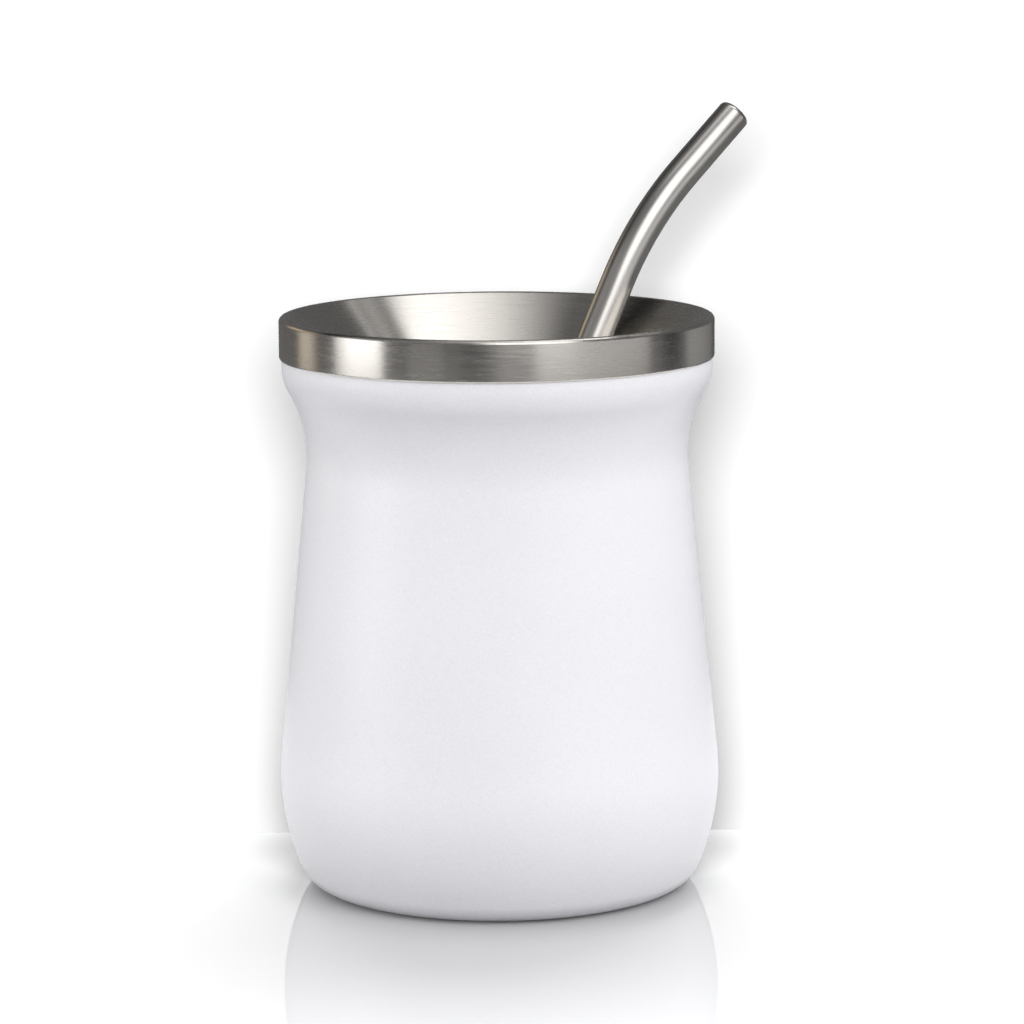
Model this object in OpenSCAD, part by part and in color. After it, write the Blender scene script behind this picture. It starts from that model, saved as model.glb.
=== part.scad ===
// Double-walled steel mate cup with a coated outside, a funnel rim and a steel straw.
// Millimetres. The origin is the centre of the foot, on the floor, and +Z is up.
// The straw leans towards +X, and a little towards +Y.

/* [Cup outside] */
// Height of the cup, from the floor to the top of the rim
cup_h = 106; // [102:0.5:110]
// Diameter of the steel band round the rim
rim_d = 80; // [79:0.5:81]
// Height of the steel band
band_h = 7.6; // [6:0.2:8]
// How far the band stands out past the coated wall below it
band_step = 0.4; // [0.2:0.1:0.5]
// Rounding of the band's lower edge
band_edge = 0.45; // [0.2:0.05:0.5]
// How far the wall is drawn in from below the band to the neck, where it is narrowest
neck_in = 4.45; // [3.5:0.05:5.5]
// Straight height between the flare and the band
flare_gap = 1.2; // [0.4:0.2:3]
// Radius of the hollow curve at the neck
neck_round = 24; // [22:0.5:26]
// Radius of the flare between the neck and the band
flare_round = 10; // [8:0.5:12]
// Diameter at the belly, where the coated wall is widest
belly_d = 81.5; // [80.5:0.1:83]
// Height of the belly above the floor
belly_z = 20.5; // [19:0.5:24]
// Radius of the belly's curve, seen from the side
belly_round = 42; // [38:1:46]
// Radius of the curve where the wall turns in under the foot
foot_round = 5.7; // [4:0.1:7]
// Width of the flat ring that the wall leaves under the foot
foot_flat = 3.4; // [2:0.2:5]

/* [Sheet and inside] */
// Thickness of the coated outer wall
shell_t = 0.6; // [0.5:0.1:0.8]
// Thickness of the inner pot, the funnel and the band
liner_t = 0.6; // [0.5:0.1:0.7]
// Gap between the two walls at the neck
wall_gap = 3.95; // [3:0.05:5]
// Height of the pot's floor above the table
floor_z = 8; // [7:0.5:12]
// Radius between the pot's floor and its wall
floor_round = 8; // [6:0.5:10]
// Slope of the funnel, in degrees from upright
funnel_a = 42; // [40:1:45]
// Radius of the bend between the pot's wall and the funnel
throat_round = 2.6; // [1.6:0.2:4]
// Outside radius of the fold along the lip
lip_round = 0.8; // [0.7:0.05:0.9]

/* [Base plate] */
// Gap between the plate's edge and the start of the foot's curve
plate_gap = 0.9; // [0.2:0.1:1.6]
// Width of the plate's flat margin, outside its raised middle
plate_margin = 6; // [5:0.5:10]
// Height that the plate's middle is raised
plate_rise = 1.2; // [0.8:0.1:1.6]

/* [Straw] */
// Outer diameter of the tube
straw_d = 6.3; // [6:0.1:6.4]
// Thickness of the tube's wall
straw_t = 0.5; // [0.4:0.1:0.7]
// Gap between the bulb and the pot's wall, where the bulb stands on the floor
bulb_gap = 5.75; // [4:0.25:7]
// Place round the pot where the bulb stands, in degrees from +X
bulb_side = 171; // [165:1:177]
// Place round the throat where the tube rests, in degrees from +X
straw_side = 50; // [46:1:54]
// Length from the throat to the start of the bend
straw_up = 14.8; // [14:0.2:20]
// Radius of the bend, along the middle of the tube
bend_round = 69.5; // [60:0.5:75]
// Angle of the bend
bend_a = 20.4; // [18.4:2:20.4]
// Length of the straight mouthpiece after the bend
mouth_l = 15.7; // [14:0.1:20]
// Rounding of the mouthpiece's edge
mouth_round = 0.9; // [0.7:0.05:1.1]

/* [Strainer] */
// Diameter of the strainer's bulb
bulb_d = 13; // [11:0.5:14]
// Length of the bulb's straight side
bulb_l = 16; // [12:1:18]
// Length of the cone between the bulb and the collar
cone_l = 8; // [6:1:10]
// Length of the collar that holds the tube
collar_l = 7; // [5:1:8]
// Thickness of the strainer's sheet
strainer_t = 0.5; // [0.4:0.1:0.6]
// Diameter of the strainer's holes
hole_d = 1.3; // [1:0.1:1.6]
// Holes in one row round the bulb
row_holes = 12; // [8:1:14]
// Rows of holes along the bulb
hole_rows = 5; // [3:1:5]

/* [Fits] */
// Room left where the straw rests on the throat and on the floor
rest_gap = 0.05; // [0.02:0.01:0.1]

/* [Hidden] */
$fn = 96;

COATING = "#eeeff2";
STEEL = "#b5b1ab";
DULL_STEEL = "#9c9994";

// Degrees between the points of a curve in a section
arc_step = 3;
rim_r = rim_d / 2;
belly_r = belly_d / 2;
band_z = cup_h - band_h;

// The outer wall's curves, as centres that every offset of the wall shares
top_r = rim_r - band_step;
tuck_r = rim_r - liner_t;
tuck_top = cup_h - 2 * lip_round;
flare_c = [top_r - flare_round, band_z - flare_gap];
neck_dx = neck_round + flare_round - neck_in;
neck_dz = sqrt(pow(neck_round + flare_round, 2) - pow(neck_dx, 2));
neck_c = flare_c + [neck_dx, -neck_dz];
flare_a = atan2(neck_dz, neck_dx);
belly_c = [belly_r - belly_round, belly_z];
foot_dx = sqrt(pow(belly_round - foot_round, 2) - pow(belly_z - foot_round, 2));
foot_c = [belly_c[0] + foot_dx, foot_round];
foot_a = atan2(foot_round - belly_z, foot_dx);
span = neck_c - belly_c;
flank_a = atan2(span[1], span[0]) - acos((neck_round + belly_round) / norm(span));
foot_hole_r = foot_c[0] - foot_flat;
plate_r = foot_c[0] - plate_gap;
dish_r = plate_r - plate_margin;

// The liner's bends
pot_r = top_r - neck_in - shell_t - wall_gap - liner_t;
lip_c = [rim_r - lip_round, cup_h - lip_round];
slope = [-cos(funnel_a), sin(funnel_a)];
slope_reach = slope * lip_c + lip_round;
throat_x = pot_r + throat_round;
throat_c = [throat_x, (slope_reach - throat_round - slope[0] * throat_x) / slope[1]];
floor_c = [pot_r - floor_round, floor_z + floor_round];

// The bulb stands on the floor, and the tube leans from it onto the throat's bend
straw_r = straw_d / 2;
bulb_r = bulb_d / 2;
bulb_reach = pot_r - bulb_r - bulb_gap;
bulb_c = [bulb_reach * cos(bulb_side), bulb_reach * sin(bulb_side), floor_z + bulb_r + rest_gap];
straw_run = settled([straw_r, 0, cup_h], 8);
straw_lean = lean_of(straw_run);
straw_turn = turn_of(straw_run);
rest_at = bulb_c + straw_run;
bulb_s = -norm(straw_run);
cone_s = bulb_s + bulb_l;
collar_s = cone_s + cone_l;
collar_r = straw_r + strainer_t;

// Point on a circle, and the points of an arc in steps of a few degrees
function at(centre, radius, angle) = centre + radius * [cos(angle), sin(angle)];
function arc(centre, radius, from, to) =
    let (steps = ceil(abs(to - from) / arc_step))
    [for (i = [0 : steps]) at(centre, radius, from + (to - from) * i / steps)];
function reversed(points) = [for (i = [len(points) - 1 : -1 : 0]) points[i]];

// Lean from upright of a line, and the way it leans, in degrees from +X
function lean_of(run) = atan2(norm([run[0], run[1]]), run[2]);
function turn_of(run) = atan2(run[1], run[0]);

// Point on the tube's axis beside the spot where a tube with this lean touches the throat's
// bend, which is where the bend and the tube slope alike
function rest_point(lean, turn) =
    let (
        side = straw_side - turn,
        bend = atan(tan(lean) * cos(side)),
        reach = straw_r * sqrt(pow(cos(side) / cos(lean), 2) + pow(sin(side), 2)),
        out = throat_c[0] - throat_round * cos(bend) - reach - rest_gap
    )
    [out * cos(straw_side), out * sin(straw_side), throat_c[1] + throat_round * sin(bend)];

// Line from the bulb's centre to the rest point, worked out again until the lean settles
function settled(run, tries) =
    tries == 0
        ? run
        : settled(rest_point(lean_of(run), turn_of(run)) - bulb_c, tries - 1);

// Line of the outer wall from the foot ring to its tucked top, moved in by the inset
function wall_line(inset) = concat(
    [[foot_hole_r, inset]],
    arc(foot_c, foot_round - inset, -90, foot_a),
    arc(belly_c, belly_round - inset, foot_a + arc_step, flank_a),
    arc(neck_c, -neck_round - inset, flank_a, -flare_a),
    arc(flare_c, flare_round - inset, arc_step - flare_a, 0),
    [
        [top_r - inset, band_z - inset],
        [tuck_r - inset, band_z - inset],
        [tuck_r - inset, tuck_top]
    ]
);

// Line of the liner from the middle of its floor to the lip, moved out by the thickness
function liner_line(grow) = concat(
    [[0, floor_z - grow]],
    arc(floor_c, floor_round + grow, -90, 0),
    arc(throat_c, throat_round - grow, 180, 180 - funnel_a),
    arc(lip_c, lip_round - grow, 180 - funnel_a, 0)
);

// Drawn pot, funnel, lip and turned-down band, all one sheet
module inner_liner() {
    band_edge_line = arc([rim_r - band_edge, band_z + band_edge], band_edge, 0, -90);
    section = concat(
        liner_line(0),
        band_edge_line,
        [[tuck_r, band_z]],
        reversed(liner_line(liner_t))
    );
    color(STEEL) rotate_extrude() polygon(section);
}

// Coated outer wall, tucked up behind the band and turned in under the foot
module outer_shell() {
    section = concat(wall_line(0), reversed(wall_line(shell_t)));
    color(COATING) rotate_extrude() polygon(section);
}

// Pressed disc that lies on the foot ring and closes the wall
module base_plate() {
    color(DULL_STEEL) translate([0, 0, shell_t]) difference() {
        union() {
            cylinder(r = plate_r, h = shell_t);
            cylinder(r1 = dish_r + plate_rise, r2 = dish_r, h = shell_t + plate_rise);
        }
        translate([0, 0, -shell_t])
            cylinder(r1 = dish_r + plate_rise, r2 = dish_r, h = shell_t + plate_rise);
    }
}

// Places its children on the lower straw: its own Z runs up the tube from the throat
module on_straw() {
    translate(rest_at)
        rotate([0, straw_lean, straw_turn])
            children();
}

// Cut across the tube
module tube_ring() {
    difference() {
        circle(straw_r);
        circle(straw_r - straw_t);
    }
}

// Places its children at the start of the straight mouthpiece
module on_mouthpiece() {
    translate([bend_round, 0, straw_up])
        rotate([0, bend_a, 0])
            translate([-bend_round, 0, 0])
                children();
}

// Half section of the mouthpiece's end, where the wall is spun inwards
module mouth_section() {
    centre = [straw_r - mouth_round, mouth_l - mouth_round];
    polygon(concat(
        arc(centre, mouth_round, 0, 90),
        arc(centre, mouth_round - straw_t, 90, 0)
    ));
}

// Bent drinking tube
module straw_tube() {
    color(STEEL) on_straw() {
        translate([0, 0, collar_s]) linear_extrude(straw_up - collar_s) tube_ring();
        translate([bend_round, 0, straw_up])
            rotate([90, 0, 180])
                rotate_extrude(angle = bend_a)
                    translate([bend_round, 0]) tube_ring();
        on_mouthpiece() {
            linear_extrude(mouth_l - mouth_round) tube_ring();
            rotate_extrude() mouth_section();
        }
    }
}

// Half section of the strainer's outside, moved in by the inset
module strainer_section(inset) {
    polygon(concat(
        arc([0, bulb_s], bulb_r - inset, -90, 0),
        [
            [bulb_r - inset, cone_s],
            [collar_r - inset, collar_s],
            [collar_r - inset, collar_s + collar_l],
            [0, collar_s + collar_l]
        ]
    ));
}

// Hollow bulb with rows of holes, closed at the bottom and joined to the tube
module strainer() {
    pitch = bulb_l / hole_rows;
    color(DULL_STEEL) on_straw() difference() {
        rotate_extrude() strainer_section(0);
        rotate_extrude() strainer_section(strainer_t);
        for (row = [0 : hole_rows - 1])
            for (i = [0 : row_holes - 1])
                rotate([0, 0, (i + 0.5 * (row % 2)) * 360 / row_holes])
                    translate([bulb_r - 2 * strainer_t, 0, bulb_s + (row + 0.5) * pitch])
                        rotate([0, 90, 0])
                            cylinder(d = hole_d, h = 4 * strainer_t, $fn = 24);
    }
}

inner_liner();
outer_shell();
base_plate();
straw_tube();
strainer();
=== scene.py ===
"""Looks of the mate cup: a powder-coated steel wall, a brushed liner with its band, and a bent tube."""

import math

import bmesh
import bpy
from mathutils import Matrix, Vector


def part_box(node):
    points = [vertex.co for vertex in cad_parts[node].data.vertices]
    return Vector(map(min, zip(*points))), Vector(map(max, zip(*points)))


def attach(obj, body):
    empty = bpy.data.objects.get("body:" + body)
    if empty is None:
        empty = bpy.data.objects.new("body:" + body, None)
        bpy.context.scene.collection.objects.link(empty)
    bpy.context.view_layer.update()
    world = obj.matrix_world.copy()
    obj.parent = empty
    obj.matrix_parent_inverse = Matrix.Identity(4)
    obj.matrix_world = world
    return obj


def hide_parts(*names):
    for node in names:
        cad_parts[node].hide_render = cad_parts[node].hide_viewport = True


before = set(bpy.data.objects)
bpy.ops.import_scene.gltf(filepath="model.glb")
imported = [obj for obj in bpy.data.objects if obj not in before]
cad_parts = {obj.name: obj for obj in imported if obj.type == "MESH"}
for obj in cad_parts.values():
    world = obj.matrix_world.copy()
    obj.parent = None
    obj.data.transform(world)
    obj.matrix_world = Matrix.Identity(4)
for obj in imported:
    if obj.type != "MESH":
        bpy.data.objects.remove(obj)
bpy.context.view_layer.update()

MM = 0.001

# The cup's sections, in millimetres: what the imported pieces' boxes give, and the bends between
rim_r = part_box("inner_liner")[1].x / MM
cup_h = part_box("inner_liner")[1].z / MM
belly_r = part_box("outer_shell")[1].x / MM
wall_t = 0.6
band_h = 7.6
band_step = 0.4
band_edge = 0.45
neck_in = 4.45
neck_round = 24
flare_gap = 1.2
flare_round = 10
belly_z = 20.5
belly_round = 42
foot_round = 5.7
foot_flat = 3.4
wall_gap = 3.95
pot_floor = 8
floor_round = 8
funnel_a = 42
throat_round = 2.6
lip_round = 0.8

# The tube: where its axis passes the throat, which way it leans, and its bend
tube_r = 3.15
tube_t = 0.5
tube_rest = Vector((17.18, 20.48, 96.23))
tube_lean = 25.5
tube_turn = 27.02
tube_foot = -66.5
bend_start = 14.8
bend_round = 69.5
bend_a = 20.4
mouth_l = 15.7
mouth_round = 0.9

# The photograph's view: a camera 0.8 m away, a little above the rim
view_distance = 0.8
view_height = 0.0693
view_side = 0.0026
view_down = 9.19
view_roll = -0.38
focal_mm = 152.1


def at(centre, radius, angle):
    """Point of a section on a circle, the angle in degrees."""
    turn = math.radians(angle)
    return (centre[0] + radius * math.cos(turn), centre[1] + radius * math.sin(turn))


def arc(centre, radius, start, end, step=1.5):
    """Points of an arc in a section."""
    count = max(1, math.ceil(abs(end - start) / step))
    return [at(centre, radius, start + (end - start) * i / count) for i in range(count + 1)]


def degrees_of(dy, dx):
    """Bearing of a step in a section, in degrees."""
    return math.degrees(math.atan2(dy, dx))


def wall_outline():
    """Section of the coated wall: in under the foot, up over belly, neck and flare, and behind the band."""
    band_z = cup_h - band_h
    top_r = rim_r - band_step
    flare = (top_r - flare_round, band_z - flare_gap)
    neck_dx = neck_round + flare_round - neck_in
    neck_dz = math.sqrt((neck_round + flare_round) ** 2 - neck_dx**2)
    neck = (flare[0] + neck_dx, flare[1] - neck_dz)
    flare_a = degrees_of(neck_dz, neck_dx)
    belly = (belly_r - belly_round, belly_z)
    foot_dx = math.sqrt((belly_round - foot_round) ** 2 - (belly_z - foot_round) ** 2)
    foot = (belly[0] + foot_dx, foot_round)
    foot_a = degrees_of(foot_round - belly_z, foot_dx)
    span = Vector(neck) - Vector(belly)
    flank_a = degrees_of(span.y, span.x) - math.degrees(
        math.acos((neck_round + belly_round) / span.length)
    )
    tuck_r = rim_r - wall_t
    tuck_top = cup_h - 2 * lip_round

    def line(inset):
        return [
            (foot[0] - foot_flat, inset),
            *arc(foot, foot_round - inset, -90, foot_a),
            *arc(belly, belly_round - inset, foot_a + 1, flank_a),
            *arc(neck, -neck_round - inset, flank_a, -flare_a),
            *arc(flare, flare_round - inset, 1 - flare_a, 0),
            (top_r - inset, band_z - inset),
            (tuck_r - inset, band_z - inset),
            (tuck_r - inset, tuck_top),
        ]

    return line(0) + line(wall_t)[::-1]


def liner_outline():
    """Section of the one sheet that is pot, funnel, lip and turned-down band."""
    pot_r = rim_r - band_step - neck_in - 2 * wall_t - wall_gap
    band_z = cup_h - band_h
    lip = (rim_r - lip_round, cup_h - lip_round)
    slope = (-math.cos(math.radians(funnel_a)), math.sin(math.radians(funnel_a)))
    reach = slope[0] * lip[0] + slope[1] * lip[1] + lip_round
    throat_x = pot_r + throat_round
    throat = (throat_x, (reach - throat_round - slope[0] * throat_x) / slope[1])
    floor = (pot_r - floor_round, pot_floor + floor_round)

    def line(grow):
        return [
            (0, pot_floor - grow),
            *arc(floor, floor_round + grow, -90, 0),
            *arc(throat, throat_round - grow, 180, 180 - funnel_a),
            *arc(lip, lip_round - grow, 180 - funnel_a, 0, 6),
        ]

    edge = arc((rim_r - band_edge, band_z + band_edge), band_edge, 0, -90, 10)
    return line(0) + edge + [(rim_r - wall_t, band_z)] + line(wall_t)[::-1]


def tube_outline():
    """Section of the tube along its own axis: the height is the length from the throat."""
    bend_l = bend_round * math.radians(bend_a)
    bend_steps = 20
    mouth_z = bend_start + bend_l + mouth_l - mouth_round
    stations = [tube_foot, -40, -20, 0, bend_start]
    stations += [bend_start + bend_l * i / bend_steps for i in range(1, bend_steps + 1)]
    stations += [bend_start + bend_l + mouth_l / 2]
    centre = (tube_r - mouth_round, mouth_z)
    return [
        *((tube_r, s) for s in stations),
        *arc(centre, mouth_round, 0, 90, 9),
        *arc(centre, mouth_round - tube_t, 90, 0, 15),
        *((tube_r - tube_t, s) for s in reversed(stations)),
    ]


def upright(radius, height, angle):
    """Place of a turned point on the cup's axis."""
    return Vector((radius * math.cos(angle), radius * math.sin(angle), height))


def along_tube(radius, height, angle):
    """Place of a turned point on the tube's bent axis."""
    bend = min(max(height - bend_start, 0) / bend_round, math.radians(bend_a))
    spare = height - bend_start - bend * bend_round
    turn = Matrix.Rotation(bend, 3, "Y")
    point = turn @ Vector((radius * math.cos(angle), radius * math.sin(angle), spare))
    point += Vector((bend_round * (1 - math.cos(bend)), 0, bend_start + bend_round * math.sin(bend)))
    way = Matrix.Rotation(math.radians(tube_turn), 3, "Z")
    lean = Matrix.Rotation(math.radians(tube_lean), 3, "Y")
    return way @ lean @ point + tube_rest


def turned(name, outline, steps, place=upright):
    """Solid of revolution about the cup's axis or the tube's, with its length and girth as UVs in metres."""
    crease_a = 35
    shape = bmesh.new()
    uv = shape.loops.layers.uv.new("length_and_girth")
    turn = 2 * math.pi / steps
    rings = []
    for radius, height in outline:
        count = steps if radius > 0 else 1
        rings.append([shape.verts.new(place(radius, height, i * turn) * MM) for i in range(count)])
    girth = max(radius for radius, _ in outline) * turn
    for n, ring in enumerate(rings):
        following = (n + 1) % len(rings)
        upper = rings[following]
        if len(ring) == len(upper) == 1:
            continue
        for i in range(steps):
            corners = [(ring, i, n), (ring, i + 1, n), (upper, i + 1, following), (upper, i, following)]
            kept = [c for k, c in enumerate(corners) if len(c[0]) > 1 or k in (0, 2)]
            face = shape.faces.new([r[k % len(r)] for r, k, _ in kept])
            face.smooth = True
            for loop, (_, k, row) in zip(face.loops, kept):
                loop[uv].uv = (outline[row][1] * MM, k * girth * MM)
    bmesh.ops.recalc_face_normals(shape, faces=shape.faces)
    mesh = bpy.data.meshes.new(name)
    shape.to_mesh(mesh)
    shape.free()
    mesh.set_sharp_from_angle(angle=math.radians(crease_a))
    piece = bpy.data.objects.new(name, mesh)
    bpy.context.collection.objects.link(piece)
    return piece


def linear(code):
    """An sRGB hex colour as the linear colour that a shader takes."""
    parts = [int(code[i : i + 2], 16) / 255 for i in (1, 3, 5)]
    return (*(c / 12.92 if c <= 0.04045 else ((c + 0.055) / 1.055) ** 2.4 for c in parts), 1)


def add(tree, kind, inputs=None, **settings):
    """A node with its settings, its values and its links."""
    node = tree.nodes.new(kind)
    for name, value in settings.items():
        setattr(node, name, value)
    for socket, value in (inputs or {}).items():
        if isinstance(value, bpy.types.NodeSocket):
            tree.links.new(value, node.inputs[socket])
        else:
            node.inputs[socket].default_value = value
    return node


def new_material(name):
    """An empty material and its node tree."""
    made = bpy.data.materials.new(name)
    made.use_nodes = True
    made.node_tree.nodes.clear()
    return made, made.node_tree


def output(tree, shader):
    """Sends a shader to the material's surface."""
    add(tree, "ShaderNodeOutputMaterial", {"Surface": shader.outputs[0]})


def between(tree, value, low, high):
    """A texture's 0 to 1 as a range of its own."""
    return add(tree, "ShaderNodeMapRange", {"Value": value, "To Min": low, "To Max": high}).outputs[0]


def round_the_axis(tree, pitch, turns):
    """Coordinates for marks that run round the cup's axis: fine across, and long the other way."""
    place = add(tree, "ShaderNodeTexCoord").outputs["Object"]
    flat = add(tree, "ShaderNodeVectorMath", {0: place, 1: (1, 1, 0)}, operation="MULTIPLY").outputs[0]
    reach = add(tree, "ShaderNodeVectorMath", {0: flat}, operation="LENGTH").outputs["Value"]
    height = add(tree, "ShaderNodeSeparateXYZ", {0: place}).outputs[2]
    across = add(tree, "ShaderNodeMath", {0: reach, 1: height}, operation="ADD").outputs[0]
    lines = add(tree, "ShaderNodeMath", {0: across, 1: 1 / pitch}, operation="MULTIPLY").outputs[0]
    bearing = add(tree, "ShaderNodeVectorMath", {0: flat}, operation="NORMALIZE").outputs[0]
    slow = add(tree, "ShaderNodeVectorMath", {0: bearing, "Scale": turns}, operation="SCALE").outputs[0]
    rise = add(tree, "ShaderNodeCombineXYZ", {"Z": lines}).outputs[0]
    return add(tree, "ShaderNodeVectorMath", {0: slow, 1: rise}, operation="ADD").outputs[0]


# The outer wall is stainless sheet with a white polyester powder coat, sprayed on dry and baked until
# it flows. That leaves an even satin skin with a fine orange peel and a faint speckle, so that lights
# on it are wide and soft. The real peel is some 0.4 mm across, and is drawn at 0.9 mm so that it shows.
def powder_coat():
    """White satin powder coat."""
    made, tree = new_material("powder_coat")
    place = add(tree, "ShaderNodeTexCoord").outputs["Object"]
    peel_mm, grit_mm, drift_mm = 0.9, 0.35, 30
    peel_depth_mm = 0.02
    drift_share = 0.35
    peel = add(tree, "ShaderNodeTexNoise", {"Vector": place, "Scale": 1 / (peel_mm * MM), "Detail": 2})
    grit = add(tree, "ShaderNodeTexNoise", {"Vector": place, "Scale": 1 / (grit_mm * MM), "Detail": 1})
    drift = add(tree, "ShaderNodeTexNoise", {"Vector": place, "Scale": 1 / (drift_mm * MM), "Detail": 2})
    height = add(
        tree, "ShaderNodeMath", {0: peel.outputs[0], 1: grit.outputs[0]}, operation="ADD"
    ).outputs[0]
    speck = add(
        tree, "ShaderNodeMix", {0: drift_share, 2: grit.outputs[0], 3: drift.outputs[0]}, data_type="FLOAT"
    ).outputs[0]
    colour = add(
        tree, "ShaderNodeMix", {0: speck, 6: linear("#e4e4e9"), 7: linear("#fcfcff")}, data_type="RGBA"
    )
    bump = add(
        tree, "ShaderNodeBump", {"Height": height, "Strength": 0.5, "Distance": peel_depth_mm * MM}
    )
    shader = add(
        tree,
        "ShaderNodeBsdfPrincipled",
        {
            "Base Color": colour.outputs[2],
            "Roughness": between(tree, grit.outputs[0], 0.32, 0.42),
            "Normal": bump.outputs[0],
            "IOR": 1.5,
        },
    )
    output(tree, shader)
    return made


# Pot, funnel, lip and band are one sheet of stainless, spun to shape and then brushed round and round
# on the lathe. The fine lines draw each light out across them: the band shows upright bars of light and
# dark, and the funnel shows wedges that run down its slope. Real lines lie about 0.05 mm apart, and are
# drawn 0.2 mm apart, with streaks of 0.45 mm between, so that they show.
def brushed_steel():
    """Stainless brushed round the cup's axis."""
    made, tree = new_material("brushed_stainless")
    pitch_mm, streak_mm = 0.2, 0.45
    pitch_turns, streak_turns = 9, 5
    line_depth_mm = 0.005
    lines = round_the_axis(tree, pitch_mm * MM, pitch_turns)
    streaks = round_the_axis(tree, streak_mm * MM, streak_turns)
    fine = add(tree, "ShaderNodeTexNoise", {"Vector": lines, "Scale": 1, "Detail": 3}).outputs[0]
    broad = add(tree, "ShaderNodeTexNoise", {"Vector": streaks, "Scale": 1, "Detail": 2}).outputs[0]
    colour = add(
        tree, "ShaderNodeMix", {0: broad, 6: linear("#c9c5bf"), 7: linear("#dad6d1")}, data_type="RGBA"
    )
    bump = add(tree, "ShaderNodeBump", {"Height": fine, "Strength": 0.25, "Distance": line_depth_mm * MM})
    shader = add(
        tree,
        "ShaderNodeBsdfPrincipled",
        {
            "Base Color": colour.outputs[2],
            "Metallic": 1,
            "Roughness": between(tree, broad, 0.2, 0.32),
            "Anisotropic": 0.8,
            "Anisotropic Rotation": 0.25,
            "Tangent": add(tree, "ShaderNodeTangent", direction_type="RADIAL", axis="Z").outputs[0],
            "Normal": bump.outputs[0],
        },
    )
    output(tree, shader)
    return made


# The straw is stainless tube, drawn through a die, bent cold and polished with a belt along its length.
# That gives clear lights with soft edges, which follow the bend, and faint lines along it. The real lines
# are some 0.03 mm apart, and are drawn at 0.3 mm so that they show.
def polished_tube_steel():
    """Drawn stainless tube, polished along its length."""
    made, tree = new_material("polished_drawn_stainless")
    place = add(tree, "ShaderNodeUVMap", uv_map="length_and_girth").outputs[0]
    line_mm, run_mm = 0.3, 12
    line_depth_mm = 0.005
    stretched = add(
        tree,
        "ShaderNodeVectorMath",
        {0: place, 1: (1 / (run_mm * MM), 1 / (line_mm * MM), 1)},
        operation="MULTIPLY",
    ).outputs[0]
    lines = add(tree, "ShaderNodeTexNoise", {"Vector": stretched, "Scale": 1, "Detail": 2}).outputs[0]
    colour = add(
        tree, "ShaderNodeMix", {0: lines, 6: linear("#ccc9c5"), 7: linear("#d4d1cd")}, data_type="RGBA"
    )
    bump = add(tree, "ShaderNodeBump", {"Height": lines, "Strength": 0.1, "Distance": line_depth_mm * MM})
    shader = add(
        tree,
        "ShaderNodeBsdfPrincipled",
        {
            "Base Color": colour.outputs[2],
            "Metallic": 1,
            "Roughness": between(tree, lines, 0.26, 0.31),
            "Normal": bump.outputs[0],
        },
    )
    output(tree, shader)
    return made


# Base plate and strainer are stainless sheet as it leaves the press, with no polish: the mill's grey
# grain makes the lights on them wide and a little cloudy. The real grain is about 0.05 mm, and is drawn
# at 0.25 mm so that it shows.
def pressed_steel():
    """Plain pressed stainless, dull."""
    made, tree = new_material("pressed_stainless")
    place = add(tree, "ShaderNodeTexCoord").outputs["Object"]
    grain_mm, cloud_mm = 0.25, 6
    grain_depth_mm = 0.01
    grain = add(tree, "ShaderNodeTexNoise", {"Vector": place, "Scale": 1 / (grain_mm * MM), "Detail": 3})
    cloud = add(tree, "ShaderNodeTexNoise", {"Vector": place, "Scale": 1 / (cloud_mm * MM), "Detail": 3})
    colour = add(
        tree,
        "ShaderNodeMix",
        {0: cloud.outputs[0], 6: linear("#b9b7b4"), 7: linear("#c6c4c1")},
        data_type="RGBA",
    )
    bump = add(
        tree,
        "ShaderNodeBump",
        {"Height": grain.outputs[0], "Strength": 0.3, "Distance": grain_depth_mm * MM},
    )
    shader = add(
        tree,
        "ShaderNodeBsdfPrincipled",
        {
            "Base Color": colour.outputs[2],
            "Metallic": 1,
            "Roughness": between(tree, cloud.outputs[0], 0.36, 0.46),
            "Normal": bump.outputs[0],
        },
    )
    output(tree, shader)
    return made


def seen_directly(tree):
    """1 where the camera, a mirror or a clear thing looks, and 0 where light only bounces."""
    path = add(tree, "ShaderNodeLightPath").outputs
    either = add(
        tree, "ShaderNodeMath", {0: path["Is Camera Ray"], 1: path["Is Glossy Ray"]}, operation="MAXIMUM"
    ).outputs[0]
    return add(
        tree, "ShaderNodeMath", {0: either, 1: path["Is Transmission Ray"]}, operation="MAXIMUM"
    ).outputs[0]


def white_surroundings(sky_light):
    """A world that looks white, and lights the cup at a plain level."""
    world = bpy.data.worlds.new("white_surroundings")
    bpy.context.scene.world = world
    world.use_nodes = True
    tree = world.node_tree
    tree.nodes.clear()
    strength = between(tree, seen_directly(tree), sky_light, 1)
    glow = add(tree, "ShaderNodeBackground", {"Color": (1, 1, 1, 1), "Strength": strength})
    add(tree, "ShaderNodeOutputWorld", {"Surface": glow.outputs[0]})


def paper(tree, seen_grey, bounce_grey, lift):
    """White paper: as it is seen, and the greyer sheet that light bounces from."""
    seen = seen_directly(tree)
    colour = add(
        tree, "ShaderNodeMix", {0: seen, 6: linear(bounce_grey), 7: linear(seen_grey)}, data_type="RGBA"
    )
    matt = add(tree, "ShaderNodeBsdfDiffuse", {"Color": colour.outputs[2]})
    glow = add(tree, "ShaderNodeEmission", {"Color": (1, 1, 1, 1), "Strength": between(tree, seen, 0, lift)})
    return add(tree, "ShaderNodeAddShader", {0: matt.outputs[0], 1: glow.outputs[0]})


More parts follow.
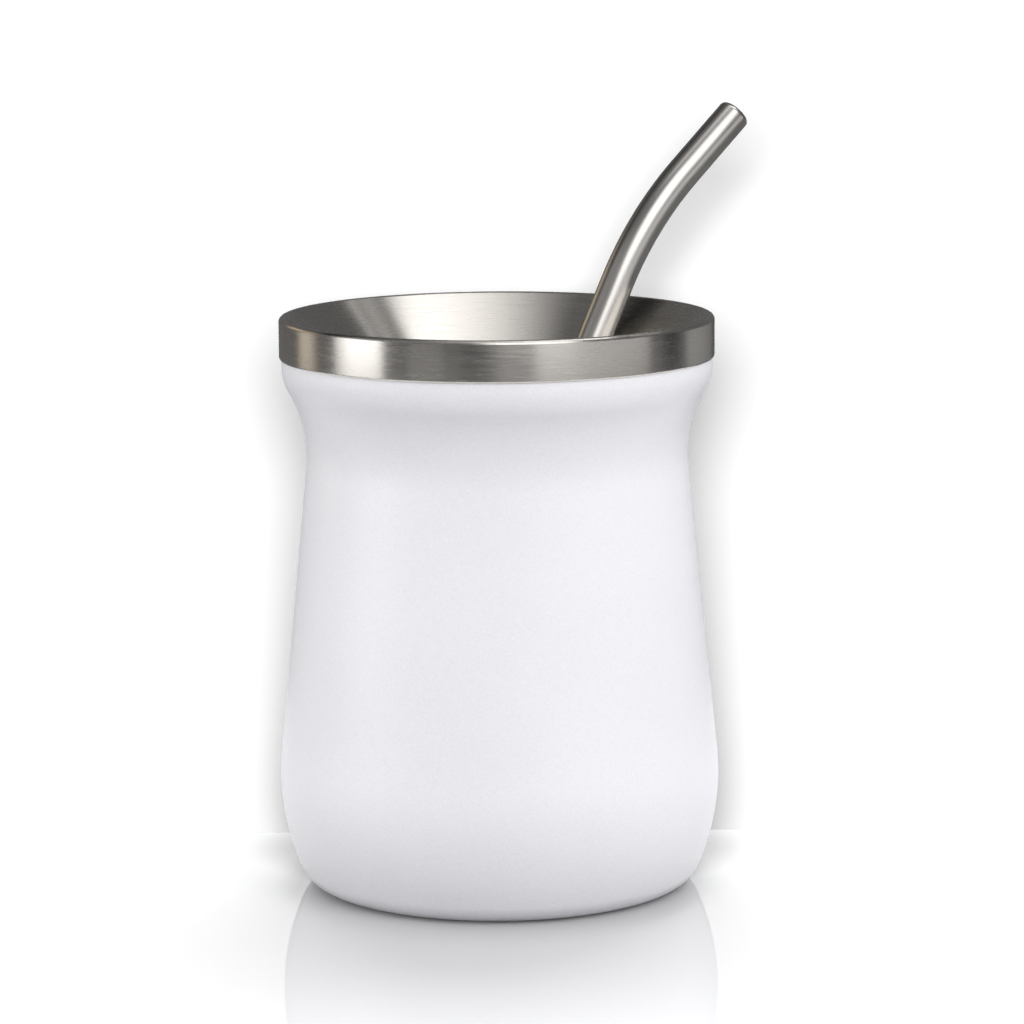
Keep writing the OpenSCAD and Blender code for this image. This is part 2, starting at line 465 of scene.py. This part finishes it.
def beyond_oval(tree, place, middle, half_sizes, end):
    """0 inside an oval, rising softly to 1 at end times its size. A half size of 0 leaves that way out."""
    off_middle = add(tree, "ShaderNodeVectorMath", {0: place, 1: middle}, operation="SUBTRACT").outputs[0]
    scale = tuple(1 / half if half else 0 for half in half_sizes)
    spread = add(tree, "ShaderNodeVectorMath", {0: off_middle, 1: scale}, operation="MULTIPLY").outputs[0]
    reach = add(tree, "ShaderNodeVectorMath", {0: spread}, operation="LENGTH").outputs["Value"]
    return add(
        tree,
        "ShaderNodeMapRange",
        {"Value": reach, "From Min": 1, "From Max": end},
        interpolation_type="SMOOTHSTEP",
    ).outputs[0]


def pale_floor(radius, gloss, gloss_reach, painted_shade_depth):
    """White sheet that the cup stands on: it keeps the shadow, has a painted shade beside and behind the
    foot, and mirrors the cup faintly near its foot.
    """
    below = (0, 0, -0.05 * MM)
    bpy.ops.mesh.primitive_circle_add(vertices=128, radius=radius, fill_type="NGON", location=below)
    floor = bpy.context.active_object
    floor.name = "pale_floor"
    made, tree = new_material("white_sheet")
    place = add(tree, "ShaderNodeTexCoord").outputs["Object"]
    away = add(tree, "ShaderNodeVectorMath", {0: place}, operation="LENGTH").outputs["Value"]
    # Far from the cup, where the lamps' light falls off, the sheet is lifted back to white
    lift = add(
        tree,
        "ShaderNodeMapRange",
        {"Value": away, "From Min": 0.15, "From Max": 0.7, "To Min": 0.05, "To Max": 0.55},
    ).outputs[0]
    lit = paper(tree, "#bcbcbd", "#868688", lift)
    # The sheet's clear gloss, strongest under the cup
    mirror = add(tree, "ShaderNodeBsdfGlossy", {"Color": (1, 1, 1, 1), "Roughness": 0})
    share = add(
        tree,
        "ShaderNodeMapRange",
        {"Value": away, "From Min": 0.03, "From Max": gloss_reach, "To Min": gloss, "To Max": 0},
        interpolation_type="SMOOTHSTEP",
    ).outputs[0]
    surface = add(tree, "ShaderNodeMixShader", {0: share, 1: lit.outputs[0], 2: mirror.outputs[0]})
    # Painted shade: a soft darker oval in the sheet beside and behind the foot, mixed in as black, standing
    # in for the shade under the belly's overhang and carrying the backdrop's shade on round the foot
    painted_shade_middle, painted_shade_half = (0, 26 * MM, 0), (38 * MM, 32 * MM, 0)
    beyond_painted_shade = beyond_oval(tree, place, painted_shade_middle, painted_shade_half, 1.32)
    dark = add(tree, "ShaderNodeBsdfDiffuse", {"Color": (0, 0, 0, 1)})
    # How much of the painted shade's black is mixed into the sheet
    under = between(tree, beyond_painted_shade, painted_shade_depth, 0)
    output(tree, add(tree, "ShaderNodeMixShader", {0: under, 1: surface.outputs[0], 2: dark.outputs[0]}))
    floor.data.materials.append(made)
    return floor


def one_sided(tree, shader):
    """A surface that is there only from its front."""
    behind = add(tree, "ShaderNodeNewGeometry").outputs["Backfacing"]
    clear = add(tree, "ShaderNodeBsdfTransparent")
    return add(tree, "ShaderNodeMixShader", {0: behind, 1: shader.outputs[0], 2: clear.outputs[0]})


def white_backdrop(behind, lean, height, width):
    """White card leaning close behind the cup, for the soft shadow round its outline; its rim fades out."""
    shape = bmesh.new()
    back = math.tan(math.radians(lean))
    low, high = [[shape.verts.new((x, behind + z * back, z)) for x in (-width, width)] for z in (0, height)]
    shape.faces.new((*low, *high[::-1]))
    mesh = bpy.data.meshes.new("white_backdrop")
    shape.to_mesh(mesh)
    shape.free()
    card = bpy.data.objects.new("white_backdrop", mesh)
    bpy.context.collection.objects.link(card)
    made, tree = new_material("white_card")
    place = add(tree, "ShaderNodeTexCoord").outputs["Object"]
    rise = add(tree, "ShaderNodeSeparateXYZ", {0: place}).outputs[2]
    lift = add(tree, "ShaderNodeMapRange", {"Value": rise, "From Max": 0.26, "To Min": 0.11, "To Max": 0.28})
    sheet = paper(tree, "#6c6c6c", "#6c6c6c", lift.outputs[0])
    card_middle, card_half = (8 * MM, 0, 70 * MM), (88 * MM, 0, 100 * MM)
    fade = beyond_oval(tree, place, card_middle, card_half, 1.2)
    clear = add(tree, "ShaderNodeBsdfTransparent")
    faded = add(tree, "ShaderNodeMixShader", {0: fade, 1: sheet.outputs[0], 2: clear.outputs[0]})
    output(tree, one_sided(tree, faded))
    mesh.materials.append(made)
    card.visible_diffuse = False
    card.visible_glossy = False
    card.visible_transmission = False
    card.visible_shadow = False
    return card


def direction(bearing, elevation):
    """Unit vector by its bearing, from the camera's side towards +X, and its elevation, in degrees."""
    b, e = math.radians(bearing), math.radians(elevation)
    return Vector((math.sin(b) * math.cos(e), -math.cos(b) * math.cos(e), math.sin(e)))


AIM = Vector((0, 0, 90 * MM))


def facing(piece, bearing, elevation, distance):
    """Puts a lamp or a card that way from the cup, with its face to it."""
    away = direction(bearing, elevation)
    piece.location = AIM + away * distance
    piece.rotation_euler = away.to_track_quat("Z", "Y").to_euler()


def lamp(name, bearing, elevation, distance, size, light):
    """Soft lamp, told by how brightly it lights a white card at the cup that faces it."""
    bulb = bpy.data.lights.new(name, "AREA")
    bulb.shape = "DISK"
    bulb.size = size
    bulb.energy = light * math.pi * distance**2 * math.pi
    piece = bpy.data.objects.new(name, bulb)
    bpy.context.collection.objects.link(piece)
    facing(piece, bearing, elevation, distance)
    piece.visible_camera = False
    piece.visible_glossy = False
    return piece


def lights_only(lamp_piece, stage_piece):
    """Keeps a backdrop or floor lamp off the cup."""
    lit = bpy.data.collections.new("lit_by_" + lamp_piece.name)
    lit.objects.link(stage_piece)
    lamp_piece.light_linking.receiver_collection = lit


def only_in_mirrors(piece):
    """A card or softbox face that the metal mirrors, and that neither shows nor shades anything."""
    piece.visible_camera = False
    piece.visible_diffuse = False
    piece.visible_transmission = False
    piece.visible_shadow = False


def steel_sees(tree, tint, light):
    """A glow that brushed and polished steel mirror, and that the floor's clear gloss looks through."""
    glow = add(tree, "ShaderNodeEmission", {"Color": tint, "Strength": light})
    sharp = add(tree, "ShaderNodeLightPath").outputs["Is Singular Ray"]
    clear = add(tree, "ShaderNodeBsdfTransparent")
    return add(tree, "ShaderNodeMixShader", {0: sharp, 1: glow.outputs[0], 2: clear.outputs[0]})


def flat_paint(name, grey):
    """Cloth of one even grey, which only the steel sees."""
    made, tree = new_material(name)
    output(tree, steel_sees(tree, (1, 1, 1, 1), grey))
    return made


def dark_tent(radius, grey):
    """Dome and mat of dark cloth round the set, which the steel mirrors between the cards."""
    mat_inner = 0.3
    mat_grey = 1.2 * grey
    bpy.ops.mesh.primitive_uv_sphere_add(segments=64, ring_count=32, radius=radius)
    tent = bpy.context.active_object
    tent.name = "dark_tent"
    tent.data.materials.append(flat_paint("dark_cloth", grey))
    only_in_mirrors(tent)
    rings = [radius * mat_inner, radius]
    shape = bmesh.new()
    rows = [[shape.verts.new((*at((0, 0), r, a), MM)) for a in range(0, 360, 6)] for r in rings]
    for i in range(60):
        j = (i + 1) % 60
        shape.faces.new((rows[0][i], rows[1][i], rows[1][j], rows[0][j]))
    mesh = bpy.data.meshes.new("dark_mat")
    shape.to_mesh(mesh)
    shape.free()
    mat = bpy.data.objects.new("dark_mat", mesh)
    bpy.context.collection.objects.link(mat)
    made, tree = new_material("dark_mat_cloth")
    output(tree, one_sided(tree, steel_sees(tree, (1, 1, 1, 1), mat_grey)))
    mesh.materials.append(made)
    only_in_mirrors(mat)


def card(
    name, bearing, elevation, distance, width, height, left, right,
    edge=0.0, ramp=1.0, tint="#ffffff", roll=0,
):
    """Card or softbox face near the cup: its light runs from left to right and falls off at its edges.

    Width and height are the degrees that it spans from the cup, left and right its light at those sides,
    edge the share of it that falls off, ramp where the right side's light is reached, roll its tilt.
    """
    bpy.ops.mesh.primitive_plane_add(size=1)
    piece = bpy.context.active_object
    piece.name = name
    reach = 2 * distance
    piece.scale = (reach * math.tan(math.radians(width / 2)), reach * math.tan(math.radians(height / 2)), 1)
    facing(piece, bearing, elevation, distance)
    if roll:
        piece.rotation_euler.rotate_axis("Z", math.radians(roll))
    made, tree = new_material(name + "_face")
    place = add(tree, "ShaderNodeTexCoord").outputs["Generated"]
    across = add(tree, "ShaderNodeSeparateXYZ", {0: place}).outputs
    light = add(
        tree,
        "ShaderNodeMapRange",
        {"Value": across[0], "From Max": ramp, "To Min": left, "To Max": right},
        interpolation_type="SMOOTHSTEP",
    ).outputs[0]
    if edge:
        for side in across[:2]:
            off = add(tree, "ShaderNodeMath", {0: side, 1: 0.5}, operation="SUBTRACT").outputs[0]
            off = add(tree, "ShaderNodeMath", {0: off}, operation="ABSOLUTE").outputs[0]
            soft = add(
                tree,
                "ShaderNodeMapRange",
                {"Value": off, "From Min": 0.5 - edge, "From Max": 0.5, "To Min": 1, "To Max": 0.1},
                interpolation_type="SMOOTHSTEP",
            ).outputs[0]
            light = add(tree, "ShaderNodeMath", {0: light, 1: soft}, operation="MULTIPLY").outputs[0]
    output(tree, steel_sees(tree, linear(tint), light))
    piece.data.materials.append(made)
    only_in_mirrors(piece)
    return piece


def studio():
    """Soft lamps over a pale floor, and the softbox faces and dark cloth that the steel mirrors."""
    white_surroundings(sky_light=1.08)
    # The floor's shade argument sets how deep its painted shade beside and behind the foot is
    floor = pale_floor(radius=4, gloss=0.35, gloss_reach=0.3, painted_shade_depth=0.4)
    backdrop = white_backdrop(behind=37 * MM, lean=26, height=0.2, width=0.12)
    # Each lamp: its bearing, elevation, distance and size, and how brightly it lights a white card
    lamp("front_lamp", 34, 38, 0.9, 0.5, 0.24)
    lamp("right_lamp", 100, 5, 0.9, 0.4, 0.1)
    lamp("left_lamp", -84, 8, 0.9, 0.4, 0.11)
    lights_only(lamp("floor_lamp", 175, 65, 0.9, 0.5, 1.24), floor)
    lights_only(lamp("backdrop_lamp", -0.5, 12, 0.85, 0.245, 6.2), backdrop)
    dark_tent(radius=0.7, grey=0.13)
    # What the tube and the funnel mirror from above and in front
    card("front_softbox", 19, 33, 0.5, 54, 56, 2.2, 2.2, 0.25)
    card("left_fill", -55, 36, 0.54, 84, 30, 0.3, 0.3, 0.2)
    overhead = card("overhead_softbox", 0, 88, 0.5, 65.6, 20, 0.5, 3.2, 0.06, 0.9)
    overhead.location = AIM + Vector((0.095, -0.11, 1)) * 0.5
    overhead.rotation_euler = (0, 0, math.radians(15))
    # The bars that the band mirrors, from the camera's left to its right
    card("left_softbox", -75, -4, 0.5, 32, 46, 1.1, 2.4, 0.05, 0.4)
    card("left_board", -35.5, -12, 0.52, 24, 30, 0.42, 0.36, 0.2)
    card("front_flag", -8, -8, 0.45, 18, 22, 0.02, 0.02)
    card("right_board", 52, -8, 0.52, 70, 30, 1.1, 0.72, 0.08)
    card("right_flag", 101, -9, 0.52, 13, 40, 0.03, 0.03)
    card("back_board", 135, -10, 0.52, 48, 24, 0.5, 0.17, 0.15)
    card("warm_board", -115, -6, 0.5, 26, 30, 0.95, 0.95, 0.4, tint="#f5ebda")
    # The warm line down the tube's left side, and the narrow lines and the dark in the funnel's sides
    card("tan_board", -126, 17, 0.5, 42, 18, 0.8, 0.8, 0.2, tint="#f0dfc4")
    card("narrow_board", 123, 45, 0.5, 44, 3, 1.1, 1.1, 0.2, roll=22)
    card("grey_board", 117, 51, 0.51, 48, 7, 0.6, 0.6, 0.2, roll=22)
    # Painted shade: the black board is a dark sheet that the funnel mirrors beside the tube, standing in for
    # the tube's shade on the funnel there
    card("black_board", -121, 42.5, 0.49, 48, 17, 0.015, 0.015, roll=-22)


def photo_camera():
    """Camera at the photograph's angle, with its slight roll."""
    lens = bpy.data.cameras.new("photo_camera")
    lens.sensor_width = 36
    lens.lens = focal_mm
    camera = bpy.data.objects.new("photo_camera", lens)
    bpy.context.collection.objects.link(camera)
    away = direction(0, view_down)
    camera.location = Vector((view_side, 0, view_height)) + away * view_distance
    roll = Matrix.Rotation(math.radians(view_roll), 3, "Z")
    camera.rotation_euler = (away.to_track_quat("Z", "Y").to_matrix() @ roll).to_euler()
    bpy.context.scene.camera = camera


def finish_with(piece, paint):
    """Gives a piece one material in place of what it had."""
    piece.data.materials.clear()
    piece.data.materials.append(paint)


def dress(name, outline, steps, place, paint, node):
    """A finely turned piece that stands for its CAD node."""
    piece = turned(name, outline, steps, place)
    finish_with(piece, paint)
    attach(piece, "root")
    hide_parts(node)


steel = brushed_steel()
coat = powder_coat()
tube_steel = polished_tube_steel()
plain_steel = pressed_steel()

photo_camera()
dress("coated_wall", wall_outline(), 288, upright, coat, "outer_shell")
dress("steel_liner", liner_outline(), 288, upright, steel, "inner_liner")
dress("drinking_tube", tube_outline(), 96, along_tube, tube_steel, "straw_tube")
for node in ("base_plate", "strainer"):
    finish_with(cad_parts[node], plain_steel)
studio()

bpy.context.scene.view_settings.view_transform = "Standard"
